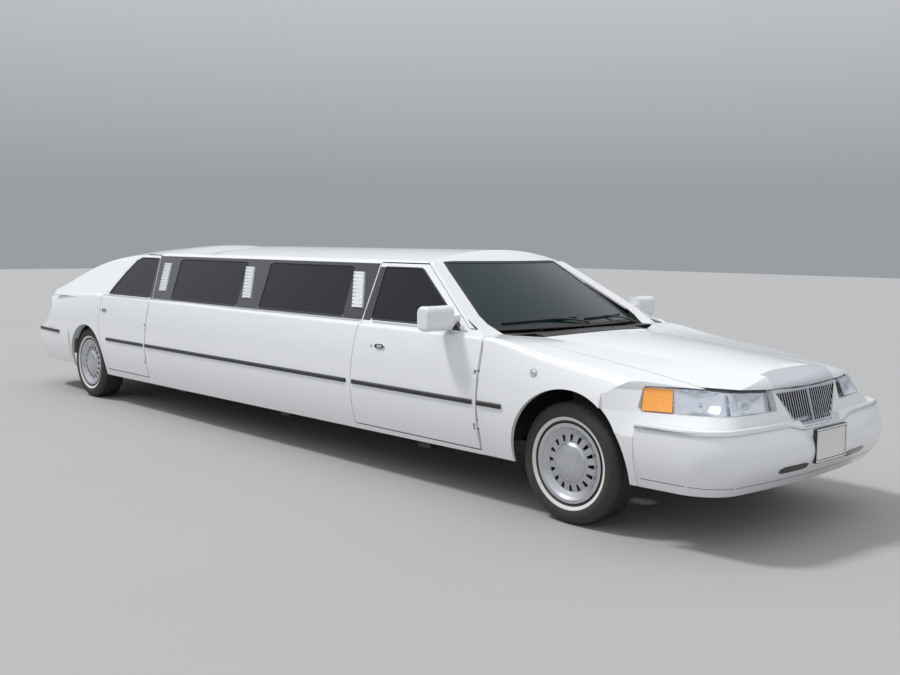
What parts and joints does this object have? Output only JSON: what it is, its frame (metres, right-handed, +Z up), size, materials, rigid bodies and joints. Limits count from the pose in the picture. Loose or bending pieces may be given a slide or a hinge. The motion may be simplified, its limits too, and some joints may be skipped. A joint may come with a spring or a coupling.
{
  "type": "stretch limousine",
  "caption": "White stretch limousine with opening doors, hood and boot lid, steered front wheels and a long lounge behind the driver.",
  "frame": {"origin": "on the ground under the middle of the car", "axes": "+X forward, +Y to the car's left, +Z up"},
  "size_m": [8.5177, 2.26, 1.4888],
  "materials": {
    "paint": "white gloss coach paint",
    "chrome": "polished bright plating",
    "black_trim": "black moulded trim",
    "lamp_clear": "clear lens over bright reflectors",
    "lamp_red": "red moulded lens",
    "clear_glass": "green tinted laminated glass",
    "dark_glass": "dark tinted glass",
    "chassis_black": "satin black chassis paint",
    "cast_iron": "raw casting",
    "steel": "dull exhaust steel",
    "leather": "grey leather",
    "wood": "lacquered wood",
    "interior_plastic": "dark grained plastic",
    "alloy": "machined aluminium",
    "tyre": "black rubber with a narrow white sidewall stripe"
  },
  "bodies": {
    "body": {"roof": "paint", "rear_deck": "paint", "body_side_left": "paint", "body_side_right": "paint", "fender_left": "paint", "fender_right": "paint", "cowl": "black_trim", "grille": "chrome", "headlamps": "lamp_clear", "tail_lamps": "lamp_red", "front_bumper": "paint", "rear_bumper": "paint", "windscreen": "clear_glass", "rear_window": "dark_glass", "side_glass": "dark_glass", "pillar_louvres": "chrome", "floor": "chassis_black", "frame": "chassis_black", "engine": "cast_iron", "exhaust": "steel", "rear_axle": "chassis_black", "front_suspension": "chassis_black", "front_seat": "leather", "lounge_seats": "leather", "cabinet": "wood", "dashboard": "interior_plastic", "steering_wheel": "interior_plastic"},
    "hood": {"hood": "paint", "grille_cap": "chrome"},
    "boot_lid": {"boot_lid": "paint"},
    "knuckle_left": {"knuckle_left": "cast_iron"},
    "knuckle_right": {"knuckle_right": "cast_iron"},
    "front_door_left": {"front_door_left": "paint", "front_door_glass_left": "dark_glass", "mirror_left": "paint"},
    "rear_door_left": {"rear_door_left": "paint", "rear_door_glass_left": "dark_glass"},
    "wheel_front_left": {"wheel_front_left": "alloy", "tyre_front_left": "tyre"},
    "wheel_rear_left": {"wheel_rear_left": "alloy", "tyre_rear_left": "tyre"},
    "front_door_right": {"front_door_right": "paint", "front_door_glass_right": "dark_glass", "mirror_right": "paint"},
    "rear_door_right": {"rear_door_right": "paint", "rear_door_glass_right": "dark_glass"},
    "wheel_front_right": {"wheel_front_right": "alloy", "tyre_front_right": "tyre"},
    "wheel_rear_right": {"wheel_rear_right": "alloy", "tyre_rear_right": "tyre"}
  },
  "joints": [
    {"name": "front_door_left_hinge", "type": "hinge", "parent": "body", "child": "front_door_left", "pos_m": [2.5465, 0.958, 0.6], "axis": [0, 0, -1], "range_deg": [0, 66]},
    {"name": "rear_door_left_hinge", "type": "hinge", "parent": "body", "child": "rear_door_left", "pos_m": [-1.6035, 0.958, 0.6], "axis": [0, 0, -1], "range_deg": [0, 66]},
    {"name": "front_door_right_hinge", "type": "hinge", "parent": "body", "child": "front_door_right", "pos_m": [2.5465, -0.958, 0.6], "axis": [0, 0, 1], "range_deg": [0, 66]},
    {"name": "rear_door_right_hinge", "type": "hinge", "parent": "body", "child": "rear_door_right", "pos_m": [-1.6035, -0.958, 0.6], "axis": [0, 0, 1], "range_deg": [0, 66]},
    {"name": "hood_hinge", "type": "hinge", "parent": "body", "child": "hood", "pos_m": [2.6235, 0, 0.936], "axis": [0, -1, 0], "range_deg": [0, 50]},
    {"name": "boot_lid_hinge", "type": "hinge", "parent": "body", "child": "boot_lid", "pos_m": [-3.7465, 0, 0.938], "axis": [0, 1, 0], "range_deg": [0, 60]},
    {"name": "steer_left", "type": "hinge", "parent": "body", "child": "knuckle_left", "pos_m": [3.2085, 0.745, 0.338], "axis": [0, 0, 1], "range_deg": [-33, 33]},
    {"name": "steer_right", "type": "hinge", "parent": "body", "child": "knuckle_right", "pos_m": [3.2085, -0.745, 0.338], "axis": [0, 0, 1], "range_deg": [-33, 33]},
    {"name": "wheel_front_left_spin", "type": "hinge", "parent": "knuckle_left", "child": "wheel_front_left", "pos_m": [3.2085, 0.805, 0.338], "axis": [0, 1, 0], "continuous": true},
    {"name": "wheel_rear_left_spin", "type": "hinge", "parent": "body", "child": "wheel_rear_left", "pos_m": [-2.8295, 0.8295, 0.338], "axis": [0, 1, 0], "continuous": true},
    {"name": "wheel_front_right_spin", "type": "hinge", "parent": "knuckle_right", "child": "wheel_front_right", "pos_m": [3.2085, -0.805, 0.338], "axis": [0, 1, 0], "continuous": true},
    {"name": "wheel_rear_right_spin", "type": "hinge", "parent": "body", "child": "wheel_rear_right", "pos_m": [-2.8295, -0.8295, 0.338], "axis": [0, 1, 0], "continuous": true}
  ],
  "couplings": [
    {"joint": "steer_right", "follows": "steer_left", "ratio": 1}
  ]
}
